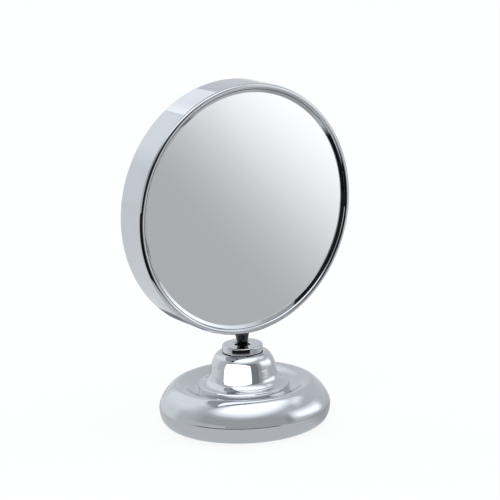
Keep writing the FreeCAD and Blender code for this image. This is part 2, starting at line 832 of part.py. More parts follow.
def screw_spots():
    """Where the plate's screws stand, as (across, up) from the mast's axis."""
    count = int(d.plate_screw_count.value)
    turns = [math.radians(90 + 360 / count * number) for number in range(count)]
    return [(screw_ring * round(math.cos(turn), 6), screw_ring * round(math.sin(turn), 6)) for turn in turns]


def drilled(body, radius):
    """Drill the circle of screw holes through a turned piece."""
    sketch = new_sketch(body, "holes", "XY_Plane")
    for number, (across, up) in enumerate(screw_spots()):
        round_hole(sketch, across, up, radius, f"hole_{number}")
    doc.recompute()
    cut_through(body, "drilled", sketch)
    return body


def base_plate():
    """The pressed plate that closes the foot, raised in its middle to hide the mast's nut."""
    wall = d.plate_thickness
    body = turned("base_plate", [
        (d.mast_stud_radius + d.seat_gap, dish_top - wall),
        (d.dish_radius - wall, dish_top - wall),
        (d.dish_radius + wall, d.pad_thickness),
        (plate_radius, d.pad_thickness),
        (plate_radius, plate_top),
        (d.dish_radius + 2 * wall, plate_top),
        (d.dish_radius, dish_top),
        (d.mast_stud_radius + d.seat_gap, dish_top),
    ])
    return drilled(body, d.plate_screw_radius + d.running_fit)


def ballast():
    """The cast-iron ring between plate and shell, drilled for the plate's screws."""
    body = turned("ballast", [
        (ballast_bore, plate_top),
        (plate_radius - d.ballast_margin, plate_top),
        (plate_radius - d.ballast_margin, d.foot_seat_height - d.foot_wall),
        (ballast_bore, d.foot_seat_height - d.foot_wall),
    ])
    return drilled(body, d.plate_screw_radius + d.running_fit)


def plate_screws():
    """The screws that hold the plate to the ballast."""
    pieces = []
    for number, (across, up) in enumerate(screw_spots()):
        head = cylinder(f"plate_screw_head_{number}", d.plate_screw_head, d.screw_head_height)
        shank = cylinder(f"plate_screw_shank_{number}", d.plate_screw_radius, d.plate_screw_length)
        place(head, across, up, d.pad_thickness - d.screw_head_height)
        place(shank, across, up, d.pad_thickness)
        pieces.append(fused(f"plate_screw_{number}", [head, shank]))
    return group("plate_screws", pieces)


def mast_nut():
    """The nut that pulls the mast, and the bell with it, down on the plate."""
    blank = doc.addObject("Part::Prism", "nut_blank")
    blank.Polygon = 6
    nut_foot = dish_top - d.plate_thickness - d.mast_washer_thickness - d.nut_height
    place(bind(blank, Circumradius=d.nut_radius, Height=d.nut_height), z=nut_foot)
    bore = cylinder("nut_bore", d.mast_stud_radius + d.running_fit, d.nut_height + 2 * d.body_gap)
    place(bore, z=nut_foot - d.body_gap)
    return cut("mast_nut", blank, bore)


bell()
foot_shell()
base_plate()
ballast()
plate_screws()
mast_nut()
turned("mast_washer", [
    (d.mast_stud_radius + d.seat_gap, dish_top - d.plate_thickness - d.mast_washer_thickness),
    (d.mast_washer_radius, dish_top - d.plate_thickness - d.mast_washer_thickness),
    (d.mast_washer_radius, dish_top - d.plate_thickness),
    (d.mast_stud_radius + d.seat_gap, dish_top - d.plate_thickness),
])
turned("foot_pad", [
    (d.pad_inner_radius, 0),
    (plate_radius - d.pad_margin, 0),
    (plate_radius - d.pad_margin, d.pad_thickness),
    (d.pad_inner_radius, d.pad_thickness),
])

# --------------------------------------------------------------------------------------------------
# Check and write
# --------------------------------------------------------------------------------------------------
PIECES = [
    "rim_band", "front_bezel", "back_bezel", "front_glass", "back_glass", "front_pad", "back_pad",
    "core_disc", "spacer_ring", "neck_block", "block_screws", "neck", "neck_washer",
    "cap", "upper_seat", "lower_seat", "seat_spring",
    "inner_tube", "inner_slipper", "middle_tube", "middle_slipper", "middle_collar",
    "outer_tube", "outer_collar",
    "bell", "foot_shell", "base_plate", "ballast", "plate_screws", "mast_nut", "mast_washer", "foot_pad",
]

doc.recompute()
for thing in doc.Objects:
    if "Invalid" in thing.State or "Error" in thing.State:
        raise ValueError(f"{thing.Label} failed: {thing.State}")
pieces = [doc.getObjectsByLabel(label)[0] for label in PIECES]
for piece in pieces:
    if piece.Shape.isNull() or not piece.Shape.isValid() or not piece.Shape.Solids:
        raise ValueError(f"{piece.Label} has no valid solid")

os.makedirs("parts", exist_ok=True)
for piece in pieces:
    piece.Shape.exportStep(f"parts/{piece.Label}.step")
    print(f"{piece.Label:16s} {len(piece.Shape.Solids)} solid  {piece.Shape.Volume:12.1f} mm3")
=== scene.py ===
import json
import math
import bpy
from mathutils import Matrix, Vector


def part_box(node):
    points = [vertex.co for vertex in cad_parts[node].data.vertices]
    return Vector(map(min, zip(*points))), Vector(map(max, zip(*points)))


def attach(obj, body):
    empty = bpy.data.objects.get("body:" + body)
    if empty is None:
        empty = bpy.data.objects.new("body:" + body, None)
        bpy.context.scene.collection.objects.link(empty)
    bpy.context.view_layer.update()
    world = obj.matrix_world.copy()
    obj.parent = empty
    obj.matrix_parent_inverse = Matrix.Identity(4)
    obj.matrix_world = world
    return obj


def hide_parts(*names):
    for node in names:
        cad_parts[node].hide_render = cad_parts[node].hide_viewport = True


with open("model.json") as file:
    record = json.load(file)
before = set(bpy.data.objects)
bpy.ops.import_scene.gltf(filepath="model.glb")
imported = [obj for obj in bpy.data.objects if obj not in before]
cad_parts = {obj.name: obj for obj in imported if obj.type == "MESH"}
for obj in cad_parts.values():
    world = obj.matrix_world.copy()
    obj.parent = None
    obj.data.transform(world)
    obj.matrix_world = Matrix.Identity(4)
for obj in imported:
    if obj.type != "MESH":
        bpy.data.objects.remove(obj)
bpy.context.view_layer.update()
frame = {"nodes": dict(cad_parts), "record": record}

MM = 0.001
TURN_STEPS = 240
WELD = 2e-6              # points nearer than this, in metres, are one point
HEAD_HEIGHT = sum(corner.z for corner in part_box("rim_band")) / 2


# ------------------------------------------------------------------------------------------------
# Outlines: points (radius, place along the axis) in millimetres
# ------------------------------------------------------------------------------------------------
ROUND_PULL = 0.5523      # share of the way to the corner that makes a quarter turn circular


def between(start, end, share):
    """The point at a share of the way from start to end."""
    return tuple(a + (b - a) * share for a, b in zip(start, end))


def swept(start, first_pull, second_pull, end, steps=18):
    """Points of a smooth curve that leaves start towards first_pull and reaches end from second_pull."""
    points = []
    for number in range(steps + 1):
        share = number / steps
        a = between(start, first_pull, share)
        b = between(first_pull, second_pull, share)
        c = between(second_pull, end, share)
        points.append(between(between(a, b, share), between(b, c, share), share))
    return points


def quarter(start, corner, end, pull=ROUND_PULL, steps=18):
    """Points of a quarter turn from start to end, drawn towards a corner."""
    return swept(start, between(start, corner, pull), between(end, corner, pull), end, steps)


def arc(centre, radius, first, last, steps=14):
    """Points of an arc, from one angle to another, in degrees."""
    points = []
    for number in range(steps + 1):
        angle = math.radians(first + (last - first) * number / steps)
        points.append((centre[0] + radius * math.cos(angle), centre[1] + radius * math.sin(angle)))
    return points


# ------------------------------------------------------------------------------------------------
# Making pieces
# ------------------------------------------------------------------------------------------------
def only(piece):
    """Select one piece and nothing else."""
    bpy.ops.object.select_all(action="DESELECT")
    piece.select_set(True)
    bpy.context.view_layer.objects.active = piece


def apply_modifier(piece, kind, **settings):
    """Add a modifier to a piece and apply it."""
    modifier = piece.modifiers.new(kind.lower(), kind)
    for name, value in settings.items():
        setattr(modifier, name, value)
    only(piece)
    bpy.ops.object.modifier_apply(modifier=modifier.name)


def turned(name, outline, along="Z", ease=0.12, steps=TURN_STEPS):
    """Turn an outline into a piece: extrude a corner along the outline, spin it, ease its sharp edges."""
    def spot(point):
        radius, place = point[0] * MM, point[1] * MM
        return Vector((radius, 0, place)) if along == "Z" else Vector((radius, place, HEAD_HEIGHT))

    bpy.ops.object.select_all(action="DESELECT")
    bpy.ops.mesh.primitive_plane_add(size=MM, location=spot(outline[0]))
    piece = bpy.context.object
    piece.name = name
    bpy.ops.object.transform_apply(location=True)
    bpy.ops.object.mode_set(mode="EDIT")
    bpy.ops.mesh.select_all(action="SELECT")
    bpy.ops.mesh.merge(type="CENTER")
    closed = outline + [outline[0]]
    for start, end in zip(closed, closed[1:]):
        step = spot(end) - spot(start)
        bpy.ops.mesh.extrude_region_move(TRANSFORM_OT_translate={"value": step})
    bpy.ops.mesh.select_all(action="SELECT")
    bpy.ops.mesh.remove_doubles(threshold=WELD)
    axis = (0, 0, 1) if along == "Z" else (0, 1, 0)
    bpy.ops.mesh.spin(steps=steps, angle=2 * math.pi, center=(0, 0, HEAD_HEIGHT), axis=axis)
    bpy.ops.mesh.select_all(action="SELECT")
    bpy.ops.mesh.remove_doubles(threshold=WELD)
    bpy.ops.mesh.dissolve_degenerate(threshold=1e-6)
    bpy.ops.mesh.select_all(action="SELECT")
    bpy.ops.mesh.normals_make_consistent(inside=False)
    bpy.ops.object.mode_set(mode="OBJECT")
    if ease:
        apply_modifier(piece, "BEVEL", width=ease * MM, segments=3, limit_method="ANGLE",
                       angle_limit=math.radians(28), use_clamp_overlap=True)
    only(piece)
    bpy.ops.object.shade_smooth_by_angle(angle=math.radians(35))
    apply_modifier(piece, "WEIGHTED_NORMAL", keep_sharp=True, weight=80)
    return piece


def body_of(node):
    """The body that a node belongs to."""
    return next(body for body, nodes in frame["record"]["behaviour"]["bodies"].items() if node in nodes)


def stands_for(piece, node, finish):
    """Let a piece take a node's place: give it a finish, hang it on the node's body and hide the node."""
    piece.data.materials.clear()
    piece.data.materials.append(finish)
    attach(piece, body_of(node))
    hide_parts(node)
    return piece


# ------------------------------------------------------------------------------------------------
# Making finishes
# ------------------------------------------------------------------------------------------------
class Value:
    """A shader socket that takes part in plain arithmetic."""

    def __init__(self, finish, socket):
        self.finish = finish
        self.socket = socket

    def combined(self, operation, other, swapped=False):
        pair = (other, self) if swapped else (self, other)
        return self.finish.node("ShaderNodeMath", {"operation": operation}, {0: pair[0], 1: pair[1]})

    def __add__(self, other):
        return self.combined("ADD", other)

    def __radd__(self, other):
        return self.combined("ADD", other, swapped=True)

    def __sub__(self, other):
        return self.combined("SUBTRACT", other)

    def __rsub__(self, other):
        return self.combined("SUBTRACT", other, swapped=True)

    def __mul__(self, other):
        return self.combined("MULTIPLY", other)

    def __rmul__(self, other):
        return self.combined("MULTIPLY", other, swapped=True)

    def absolute(self):
        return self.finish.node("ShaderNodeMath", {"operation": "ABSOLUTE"}, {0: self})


class Finish:
    """A node tree that is filled node by node."""

    def __init__(self, tree):
        self.tree = tree
        self.tree.nodes.clear()

    def node(self, kind, settings=None, sockets=None, out=0):
        """Add a node of a kind, with its settings first and then its sockets' values or links."""
        made = self.tree.nodes.new(kind)
        for name, value in (settings or {}).items():
            setattr(made, name, value)
        for name, value in (sockets or {}).items():
            if isinstance(value, Value):
                self.tree.links.new(value.socket, made.inputs[name])
            else:
                made.inputs[name].default_value = value
        return Value(self, made.outputs[out]) if len(made.outputs) else made

    def place(self):
        """Object coordinates."""
        return self.node("ShaderNodeTexCoord", out="Object")

    def vector(self, operation, first, second, out=0):
        """The result of a vector operation."""
        return self.node("ShaderNodeVectorMath", {"operation": operation}, {0: first, 1: second}, out)

    def noise(self, size, detail):
        """Soft noise whose patches are about size metres across, from 0 to 1."""
        return self.node("ShaderNodeTexNoise", {"noise_dimensions": "3D"}, {
            "Vector": self.place(), "Scale": 1 / size, "Detail": detail, "Roughness": 0.55})

    def rings(self, along, count, detail):
        """Noise that only varies with the distance from an axis, count times a metre, from 0 to 1."""
        return self.node("ShaderNodeTexNoise", {"noise_dimensions": "1D"}, {
            "W": self.from_axis(along), "Scale": count, "Detail": detail})

    def cells(self, count):
        """Distance from the nearest of scattered points, count of them a metre."""
        return self.node("ShaderNodeTexVoronoi", {"feature": "F1"}, {
            "Vector": self.place(), "Scale": count}, out="Distance")

    def tint(self, share, first, second):
        """A colour between two colours."""
        return self.node("ShaderNodeMix", {"data_type": "RGBA"}, {0: share, 6: first, 7: second}, out=2)

    def range(self, value, low, high, to_low=0.0, to_high=1.0):
        """A value stretched from one range to another, and held to it."""
        return self.node("ShaderNodeMapRange", {"clamp": True}, {
            "Value": value, "From Min": low, "From Max": high, "To Min": to_low, "To Max": to_high})

    def bump(self, height, distance):
        """A surface relief of so many metres."""
        return self.node("ShaderNodeBump", {}, {"Height": height, "Distance": distance})

    def from_axis(self, along):
        """Distance of a point from the turning axis."""
        if along == "Z":
            flat = self.vector("MULTIPLY", self.place(), (1, 1, 0))
        else:
            centred = self.vector("SUBTRACT", self.place(), (0, 0, HEAD_HEIGHT))
            flat = self.vector("MULTIPLY", centred, (1, 0, 1))
        return self.vector("DISTANCE", flat, (0, 0, 0), out="Value")

    def direction(self, point):
        """The turn of a point about Z, in degrees: 0 towards -Y and 90 towards +X."""
        x, y = (self.node("ShaderNodeSeparateXYZ", {}, {0: point}, out=letter) for letter in "XY")
        return self.node("ShaderNodeMath", {"operation": "ARCTAN2"}, {0: x, 1: -1 * y}) * math.degrees(1)

    def output(self, kind, seen, mirrored):
        """Show one shader to the camera and another to everything else."""
        straight = self.node("ShaderNodeLightPath", out="Is Camera Ray")
        both = self.node("ShaderNodeMixShader", {}, {0: straight, 1: mirrored, 2: seen})
        self.node(kind, {}, {"Surface": both})


def finish_of(name, make):
    """A material made by a function that gives its shader's sockets."""
    material = bpy.data.materials.new(name)
    material.use_nodes = True
    finish = Finish(material.node_tree)
    shader = finish.node("ShaderNodeBsdfPrincipled", {}, make(finish))
    finish.node("ShaderNodeOutputMaterial", {}, {"Surface": shader})
    return material


def chrome(bright, dull, along):
    """Plated metal: even colour, a soft haze, fine polishing rings and a few specks."""
    def make(finish):
        haze = finish.noise(0.018, 4)
        rings = finish.rings(along, 5200.0, 2.0)
        speck = finish.range(finish.cells(210.0), 0.06, 0.02)
        return {
            "Base Color": finish.tint(haze, bright, dull),
            "Metallic": 1.0,
            "Roughness": 0.012 + haze * 0.03 + rings * 0.02 + speck * 0.12,
            "Normal": finish.bump(finish.noise(0.03, 1) + rings * 0.002, 0.00002),
        }
    return make


def mirror(finish):
    """Silvered glass with a trace of dust."""
    cloud = finish.noise(0.05, 3)
    speck = finish.range(finish.cells(150.0), 0.05, 0.015)
    return {
        "Base Color": finish.tint(speck * 0.4, (0.915, 0.925, 0.93, 1), (0.75, 0.76, 0.77, 1)),
        "Metallic": 1.0,
        "Roughness": 0.006 + cloud * 0.012 + speck * 0.1,
    }


def foam(finish):
    """Closed-cell foam."""
    cells = finish.cells(2600.0)
    return {
        "Base Color": finish.tint(cells, (0.93, 0.92, 0.88, 1), (0.74, 0.73, 0.69, 1)),
        "Roughness": 0.75 + cells * 0.2,
        "Normal": finish.bump(cells, 0.0002),
    }


def moulded(bright, dull, sheen):
    """Moulded plastic with a fine spark-eroded grain."""
    def make(finish):
        grain = finish.noise(0.0006, 2)
        flow = finish.noise(0.02, 2)
        return {
            "Base Color": finish.tint(flow, bright, dull),
            "Roughness": sheen + grain * 0.18,
            "Normal": finish.bump(grain, 0.00003),
        }
    return make


def metal(bright, dull, sheen, grain_size, relief):
    """Bare or plated metal with turning marks and blotches."""
    def make(finish):
        blotch = finish.noise(0.008, 4)
        grain = finish.noise(grain_size, 3)
        rings = finish.rings("Z", 3000.0, 3.0)
        return {
            "Base Color": finish.tint(finish.range(blotch, 0.3, 0.7), bright, dull),
            "Metallic": 1.0,
            "Roughness": sheen + rings * 0.14 + grain * 0.08,
            "Normal": finish.bump(rings * 0.5 + grain, relief),
        }
    return make


def rubber(finish):
    """Black rubber with a dusty bloom and a fine tooth."""
    tooth = finish.noise(0.0004, 2)
    bloom = finish.noise(0.01, 3)
    dust = finish.range(bloom, 0.45, 0.8)
    return {
        "Base Color": finish.tint(dust, (0.012, 0.012, 0.013, 1), (0.05, 0.05, 0.052, 1)),
        "Roughness": 0.62 + tooth * 0.25,
        "Normal": finish.bump(tooth, 0.00008),
    }


CHROME_LIGHT = (0.66, 0.67, 0.69, 1)
CHROME_SHADE = (0.61, 0.62, 0.645, 1)
BRASS = ((0.86, 0.66, 0.30, 1), (0.70, 0.50, 0.2, 1))
ZINC = ((0.66, 0.67, 0.66, 1), (0.5, 0.52, 0.55, 1))
IRON = ((0.20, 0.19, 0.18, 1), (0.12, 0.105, 0.095, 1))
FINISHES = {
    "head_chrome": finish_of("head_chrome", chrome(CHROME_LIGHT, CHROME_SHADE, "Y")),
    "foot_chrome": finish_of("foot_chrome", chrome(CHROME_LIGHT, CHROME_SHADE, "Z")),
    "mast_chrome": finish_of("mast_chrome", chrome((0.64, 0.65, 0.67, 1), (0.58, 0.59, 0.61, 1), "Z")),
    "dark_chrome": finish_of("dark_chrome", chrome((0.085, 0.088, 0.095, 1), (0.06, 0.062, 0.067, 1), "Z")),
    "silvered_glass": finish_of("silvered_glass", mirror),
    "foam": finish_of("foam", foam),
    "moulded_white": finish_of("moulded_white", moulded((0.86, 0.86, 0.84, 1), (0.8, 0.8, 0.78, 1), 0.34)),
    "nylon": finish_of("nylon", moulded((0.80, 0.78, 0.70, 1), (0.74, 0.71, 0.62, 1), 0.4)),
    "turned_brass": finish_of("turned_brass", metal(*BRASS, 0.22, 0.0008, 0.00002)),
    "zinc_steel": finish_of("zinc_steel", metal(*ZINC, 0.28, 0.0015, 0.00002)),
    "raw_iron": finish_of("raw_iron", metal(*IRON, 0.55, 0.0011, 0.00025)),
    "black_rubber": finish_of("black_rubber", rubber),
}
NODE_FINISHES = {
    "front_pad": "foam", "back_pad": "foam", "core_disc": "moulded_white", "spacer_ring": "moulded_white",
    "neck_block": "turned_brass", "block_screws": "zinc_steel", "neck_washer": "dark_chrome",
    "upper_seat": "nylon", "lower_seat": "nylon", "seat_spring": "zinc_steel", "inner_slipper": "nylon",
    "middle_slipper": "nylon", "middle_collar": "nylon", "outer_collar": "nylon", "outer_tube": "mast_chrome",
    "base_plate": "zinc_steel", "ballast": "raw_iron", "plate_screws": "zinc_steel", "mast_nut": "zinc_steel",
    "mast_washer": "zinc_steel", "foot_pad": "black_rubber", "front_glass": "silvered_glass",
    "rim_band": "head_chrome", "front_bezel": "head_chrome", "back_bezel": "head_chrome",
    "back_glass": "silvered_glass", "neck": "dark_chrome", "cap": "foot_chrome", "bell": "foot_chrome",
    "foot_shell": "foot_chrome", "inner_tube": "mast_chrome", "middle_tube": "mast_chrome",
}
for node, finish_name in NODE_FINISHES.items():
    for material_slot in frame["nodes"][node].material_slots:
        material_slot.material = FINISHES[finish_name]


# ------------------------------------------------------------------------------------------------
# Head
# ------------------------------------------------------------------------------------------------
BEAD_RADIUS = 1.9
BEAD_CENTRE = 78.7       # radius of the ring that the bead runs along
BEAD_PLACE = 10.1        # from the head's middle to the bead's centre
BEAD_BACK = 8.2          # from the head's middle to the back of the bead
HOOP_BORE = 79.2
FIT = 0.05               # clearance of the bezel in the hoop and of the glass in the bezel
SIGHT_RADIUS = 74.7      # what the bezel leaves open
LIP_EDGE = 0.4           # thickness of the bezel's lip where it ends on the glass
LIP_HEIGHT = 1.6         # from the glass to the top of the bezel's slope
LIP_RADIUS = 76.75
FLANGE_RADIUS, FLANGE_THICKNESS = 79.1, 1.0
GLASS_RADIUS = 75.9
GLASS_FACE = 9.4         # from the head's middle to the glasses' outer faces
GLASS_THICKNESS = 3.0
MAGNIFIER_RADIUS = 700.0


def hoop_skin():
    """The hoop and its two rolled beads."""
    bead_bore = BEAD_CENTRE - BEAD_RADIUS
    front_bead = arc((BEAD_CENTRE, -BEAD_PLACE), BEAD_RADIUS, 180, 360, 22)
    back_bead = arc((BEAD_CENTRE, BEAD_PLACE), BEAD_RADIUS, 0, 180, 22)
    outline = [(HOOP_BORE, -BEAD_BACK), (bead_bore, -BEAD_BACK), *front_bead, *back_bead,
               (bead_bore, BEAD_BACK), (HOOP_BORE, BEAD_BACK)]
    return turned("hoop", outline, "Y")


def bezel_skin(name, side):
    """A glass-holding ring: a thin lip on the glass, a slope and a flange. side is -1 in front."""
    seat = GLASS_RADIUS + FIT
    flange_front = FIT - BEAD_BACK
    flange_back = flange_front + FLANGE_THICKNESS
    outline = [(SIGHT_RADIUS, -GLASS_FACE), (SIGHT_RADIUS, -GLASS_FACE - LIP_EDGE),
               (LIP_RADIUS, -GLASS_FACE - LIP_HEIGHT), (LIP_RADIUS, flange_front),
               (FLANGE_RADIUS, flange_front), (FLANGE_RADIUS, flange_back),
               (seat, flange_back), (seat, -GLASS_FACE)]
    if side > 0:
        outline = [(radius, -place) for radius, place in outline]
    return turned(name, outline, "Y", ease=0.1)


def magnifier():
    """The concave glass of the back face."""
    def dish(curve, radius):
        return (radius, GLASS_FACE + math.sqrt(MAGNIFIER_RADIUS ** 2 - GLASS_RADIUS ** 2)
                - math.sqrt(curve ** 2 - radius ** 2))

    radii = [*range(0, 76, 5), GLASS_RADIUS]
    face = [dish(MAGNIFIER_RADIUS, radius) for radius in radii]
    under = [dish(MAGNIFIER_RADIUS + GLASS_THICKNESS, radius) for radius in radii]
    return turned("magnifying_face", face + under[::-1], "Y", ease=0.15)


def shaving_glass():
    """The flat glass of the front face, with ground edges."""
    back = GLASS_THICKNESS - GLASS_FACE
    outline = [(0.0, -GLASS_FACE), (GLASS_RADIUS, -GLASS_FACE), (GLASS_RADIUS, back), (0.0, back)]
    return turned("shaving_face", outline, "Y", ease=0.25)


stands_for(hoop_skin(), "rim_band", FINISHES["head_chrome"])
stands_for(bezel_skin("front_lip", -1), "front_bezel", FINISHES["head_chrome"])
stands_for(bezel_skin("back_lip", 1), "back_bezel", FINISHES["head_chrome"])
stands_for(shaving_glass(), "front_glass", FINISHES["silvered_glass"])
stands_for(magnifier(), "back_glass", FINISHES["silvered_glass"])


# ------------------------------------------------------------------------------------------------
# Neck, cap and mast
# ------------------------------------------------------------------------------------------------
BALL_HEIGHT, BALL_RADIUS = 44.6, 6.5
BALL_END = 63.5          # angle where the ball runs into the waist, in degrees
NECK_WAIST, NECK_TOP = (2.9, 50.42), (5.0, 60.8)
STUD_TOP, STUD_RADIUS = 76.8, 2.0
CAP_FOOT, CAP_TOP, CAP_RADIUS = 47.4, 51.8, 13.1
CAP_EDGE = 1.0           # rounding of the cap's upper edge
CAP_CEILING = 50.2       # underside of the cap's top
CAP_BORE, CAP_HOLE, CAP_BEVEL = 10.65, 5.2, 0.8


def neck_skin():
    """Ball, waist, taper and stud."""
    ball = arc((0, BALL_HEIGHT), BALL_RADIUS, -90, BALL_END, 22)
    outline = [*ball, NECK_WAIST, NECK_TOP, (STUD_RADIUS, NECK_TOP[1]), (STUD_RADIUS, STUD_TOP),
               (0.0, STUD_TOP)]
    return turned("neck_stem", outline, "Z", ease=0.15, steps=96)


def cap_skin():
    """The clamping cap: round edge, flat top and a bevelled hole."""
    edge = arc((CAP_RADIUS - CAP_EDGE, CAP_TOP - CAP_EDGE), CAP_EDGE, 0, 90, 8)
    outline = [(CAP_BORE, CAP_FOOT), (CAP_RADIUS, CAP_FOOT), *edge, (CAP_HOLE + CAP_BEVEL, CAP_TOP),
               (CAP_HOLE, CAP_TOP - CAP_BEVEL), (CAP_HOLE, CAP_CEILING), (CAP_BORE, CAP_CEILING)]
    return turned("clamp_cap", outline, "Z", ease=0.1, steps=192)


TUBE_WALL = 1.0
GROOVE_DEPTH, GROOVE_LOW, GROOVE_HIGH = 0.4, 1.0, 5.1      # of a slipper's groove, over the tube's foot


def tube_skin(name, outside, foot, top, web=None):
    """A mast tube with the groove of its slipper, and a web across it if it has one."""
    bore, groove = outside - TUBE_WALL, outside - GROOVE_DEPTH
    groove_low, groove_high = foot + GROOVE_LOW, foot + GROOVE_HIGH
    outline = [(bore, foot), (outside, foot), (outside, groove_low), (groove, groove_low),
               (groove, groove_high), (outside, groove_high), (outside, top), (bore, top)]
    if web:
        outline += [(bore, web[1]), (0.0, web[1]), (0.0, web[0]), (bore, web[0])]
    return turned(name, outline, "Z", ease=0.08, steps=160)


stands_for(neck_skin(), "neck", FINISHES["dark_chrome"])
stands_for(cap_skin(), "cap", FINISHES["foot_chrome"])
stands_for(tube_skin("upper_tube", outside=10.6, foot=9.4, top=50.1, web=(34.4, 36.4)), "inner_tube",
           FINISHES["mast_chrome"])
# This skin is 1 mm too small all round: the CAD's tube is 12.5 outside.
stands_for(tube_skin("lower_tube", outside=11.5, foot=8.4, top=47.0), "middle_tube",
           FINISHES["mast_chrome"])


# ------------------------------------------------------------------------------------------------
# Bell and foot
# ------------------------------------------------------------------------------------------------
BELL_TOP = 47.0
BELL_CEILING = 45.4      # underside of the bell's top
BELL_SEAT = 23.0         # height of the foot's flat under the bell
SPIGOT_FOOT, SPIGOT_RADIUS = 21.4, 23.9
RIM_RADIUS, RIM_HEIGHT, RIM_ROUND = 29.5, 26.7, 1.0
MAST_HOLE, MAST_BORE, MAST_BORE_FOOT = 12.9, 14.45, 36.0
BELL_HOLLOW = 19.0       # radius of the hollow under the mast's bore
BELL_FLAT = 14.3         # outer radius of the flat at the bell's top
SHOULDER, SHOULDER_CORNER = (20.8, 37.3), 19.374           # its end, and the radius its curve is drawn to
FLARE, FLARE_CORNER = (21.3, 33.9), 22.359                 # its start, and the same
CREST = (43.0, 27.0)
WAIST = (55.2, 11.6)
FOOT_EDGE = (46.8, 0.5)
SEAT_EDGE, FOOT_HOLE = 30.6, 24.0
SHELL_WALL = 1.2
CREST_PULL, WAIST_PULL = 0.336, 0.63                       # of the curves that start there, to their corners


def bell_skin():
    """The bell: flat top, round shoulder, flared skirt and a rounded rim."""
    rim_start = (RIM_RADIUS - RIM_ROUND, RIM_HEIGHT)
    outline = [
        *quarter((BELL_FLAT, BELL_TOP), (SHOULDER_CORNER, BELL_TOP), SHOULDER, steps=26),
        *quarter(FLARE, (FLARE_CORNER, RIM_HEIGHT), rim_start, steps=26),
        *quarter(rim_start, (RIM_RADIUS, RIM_HEIGHT), (RIM_RADIUS, RIM_HEIGHT - RIM_ROUND), steps=8)[1:],
        (RIM_RADIUS, BELL_SEAT), (SPIGOT_RADIUS, BELL_SEAT), (SPIGOT_RADIUS, SPIGOT_FOOT),
        (BELL_HOLLOW, SPIGOT_FOOT), (BELL_HOLLOW, MAST_BORE_FOOT), (MAST_BORE, MAST_BORE_FOOT),
        (MAST_BORE, BELL_CEILING), (MAST_HOLE, BELL_CEILING), (MAST_HOLE, BELL_TOP),
    ]
    return turned("bell_cover", outline, "Z", ease=0.15)


def shell_side(inset, steps):
    """One face of the foot's shell, from its hole to its lower edge."""
    seat, crest = (SEAT_EDGE, BELL_SEAT - inset), (CREST[0], CREST[1] - inset)
    waist, edge = (WAIST[0] - inset, WAIST[1]), (FOOT_EDGE[0] - inset, FOOT_EDGE[1])
    sweep = (crest[0] - seat[0]) * 0.4
    return [
        (FOOT_HOLE, BELL_SEAT - inset),
        *swept(seat, (seat[0] + sweep, seat[1]), (crest[0] - sweep, crest[1]), crest, steps),
        *quarter(crest, (waist[0], crest[1]), waist, CREST_PULL, steps)[1:],
        *quarter(waist, (waist[0], edge[1]), edge, WAIST_PULL, steps)[1:],
    ]


def foot_skin():
    """The spun shell of the foot."""
    return turned("foot_cover", shell_side(0.0, 30) + shell_side(SHELL_WALL, 14)[::-1], "Z", ease=0.15)


stands_for(bell_skin(), "bell", FINISHES["foot_chrome"])
stands_for(foot_skin(), "foot_shell", FINISHES["foot_chrome"])


# ------------------------------------------------------------------------------------------------
# Studio
# ------------------------------------------------------------------------------------------------
TABLE_SIZE = 12
TABLE_GLOW = 0.88        # what the camera sees of the table is this glow and a matt grey that takes shadows
TABLE_GREY = 0.14
SWEEP = (0.92, 0.38, 0)  # the way that painted light makes the reflected table brighter, on the right
DARK_SPOT = (0.022, 0.146, 0)                              # a shadow on the table behind the foot
BLUISH = (0.945, 0.985, 1.02)


def studio_floor():
    """The pale table. In reflections it shows painted shade round the foot and painted light further out on
    the right.
    """
    bpy.ops.object.select_all(action="DESELECT")
    bpy.ops.mesh.primitive_plane_add(size=TABLE_SIZE, location=(0, 0, 0))
    floor = bpy.context.object
    floor.name = "studio_floor"
    material = bpy.data.materials.new("pale_table")
    material.use_nodes = True
    finish = Finish(material.node_tree)
    spot = finish.place()
    turn = finish.direction(spot)
    reach = finish.vector("DISTANCE", spot, (0, 0, 0), out="Value")
    across = finish.vector("DOT_PRODUCT", spot, SWEEP, out="Value")
    to_spot = finish.vector("DISTANCE", spot, DARK_SPOT, out="Value")

    def sector(start, full, fading, end):
        """A mask that is 1 from one turn to another and 0 outside two others."""
        return finish.range(turn, start, full) * finish.range(turn, end, fading)

    # Turns are in degrees, and reaches in metres from the mast.
    # painted light: in reflections the table grows brighter towards the right, out past the foot
    sweep = finish.node("ShaderNodeMapRange", {"interpolation_type": "SMOOTHSTEP"}, {
        "Value": across, "From Min": 0.06, "From Max": 0.275})
    right = sector(12, 20, 50, 62)
    far = finish.range(reach, 0.115, 0.14)
    # painted dark reflection: far out in front, the table shows nearly black to reflections
    dark = sector(-100, -92, 4, 10) * finish.range(reach, 0.160, 0.172)
    behind = 0.62 + 0.24 * finish.range(turn.absolute(), 110, 140)
    outer = (0.465 + 0.635 * sweep) * right + behind * (1 - right)
    # painted shade: in reflections the table round the foot is grey, and darker on the foot's right
    painted_foot_shade = 0.68 - 0.20 * sector(25, 45, 82, 100)
    open_floor = painted_foot_shade * (1 - far) + outer * far
    level = open_floor * (1 - 0.985 * dark) * finish.range(to_spot, 0.024, 0.036, 0.28, 1.0)
    bright_part = sweep * right * far
    tone = finish.node("ShaderNodeCombineColor", {}, {
        "Red": BLUISH[0] + 0.035 * bright_part, "Green": BLUISH[1], "Blue": BLUISH[2] - 0.01 * bright_part})
    mirrored = finish.node("ShaderNodeEmission", {}, {"Color": tone, "Strength": level})
    glow = finish.node("ShaderNodeEmission", {}, {"Color": (1, 1, 1, 1), "Strength": TABLE_GLOW})
    matt = finish.node("ShaderNodeBsdfDiffuse", {}, {"Color": (TABLE_GREY, TABLE_GREY, TABLE_GREY, 1)})
    seen = finish.node("ShaderNodeAddShader", {}, {0: glow, 1: matt})
    finish.output("ShaderNodeOutputMaterial", seen, mirrored)
    floor.data.materials.append(material)


